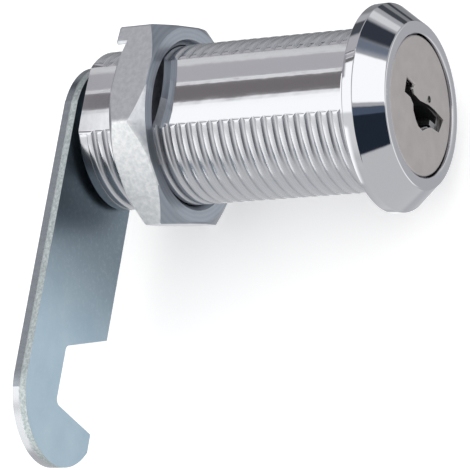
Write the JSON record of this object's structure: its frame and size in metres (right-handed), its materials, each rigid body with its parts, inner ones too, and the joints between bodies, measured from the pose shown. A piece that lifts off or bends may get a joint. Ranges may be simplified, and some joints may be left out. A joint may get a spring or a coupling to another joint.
{
  "type": "cam lock",
  "caption": "Mailbox cam lock: threaded double-flat barrel with a bevelled head, hex mounting nut, keyed plug and a flat hooked cam on its tail.",
  "frame": {"origin": "centre of the head's back seat, on the lock's axis", "axes": "+Y along the lock's axis from the key face to the cam, +Z along the upper flat's normal, the cam points to -X"},
  "size_m": [0.056, 0.0464, 0.0244],
  "materials": {
    "chrome": "polished chrome plate on die-cast zinc",
    "nickel_steel": "bright nickel plate, lightly tumbled",
    "nickel_zinc": "nickel plate on die-cast zinc",
    "satin_steel": "satin stainless sheet",
    "brass": "stamped brass sheet",
    "spring_steel": "bright spring steel",
    "zinc_steel": "blue-white zinc plate on stamped steel"
  },
  "bodies": {
    "housing": {"housing": "chrome"},
    "mounting_nut": {"mounting_nut": "nickel_steel"},
    "plug": {"plug": "nickel_zinc", "face_cap": "satin_steel", "retainer": "brass", "retainer_spring": "spring_steel", "stop_washer": "zinc_steel", "cam": "zinc_steel", "spring_washer": "spring_steel", "cam_screw": "zinc_steel", "wafer_spring_1": "spring_steel", "wafer_spring_2": "spring_steel", "wafer_spring_3": "spring_steel", "wafer_spring_4": "spring_steel", "wafer_spring_5": "spring_steel"},
    "wafer_1": {"wafer_1": "brass"},
    "wafer_2": {"wafer_2": "brass"},
    "wafer_3": {"wafer_3": "brass"},
    "wafer_4": {"wafer_4": "brass"},
    "wafer_5": {"wafer_5": "brass"}
  },
  "joints": [
    {"name": "plug_turn", "type": "hinge", "parent": "housing", "child": "plug", "pos_m": [0, 0, 0], "axis": [0, 1, 0], "range_deg": [0, 90]},
    {"name": "nut_travel", "type": "slide", "parent": "housing", "child": "mounting_nut", "axis": [0, 1, 0], "range_m": [-0.0238, 0.0045]},
    {"name": "wafer_1_slide", "type": "slide", "parent": "plug", "child": "wafer_1", "axis": [0, 0, 1], "range_m": [0, 0.0008], "stiffness_N_per_m": 60, "springref_m": 0.002, "deforming": ["wafer_spring_1"]},
    {"name": "wafer_2_slide", "type": "slide", "parent": "plug", "child": "wafer_2", "axis": [0, 0, 1], "range_m": [0, 0.0008], "stiffness_N_per_m": 60, "springref_m": 0.002, "deforming": ["wafer_spring_2"]},
    {"name": "wafer_3_slide", "type": "slide", "parent": "plug", "child": "wafer_3", "axis": [0, 0, 1], "range_m": [0, 0.0008], "stiffness_N_per_m": 60, "springref_m": 0.002, "deforming": ["wafer_spring_3"]},
    {"name": "wafer_4_slide", "type": "slide", "parent": "plug", "child": "wafer_4", "axis": [0, 0, 1], "range_m": [0, 0.0008], "stiffness_N_per_m": 60, "springref_m": 0.002, "deforming": ["wafer_spring_4"]},
    {"name": "wafer_5_slide", "type": "slide", "parent": "plug", "child": "wafer_5", "axis": [0, 0, 1], "range_m": [0, 0.0008], "stiffness_N_per_m": 60, "springref_m": 0.002, "deforming": ["wafer_spring_5"]}
  ]
}
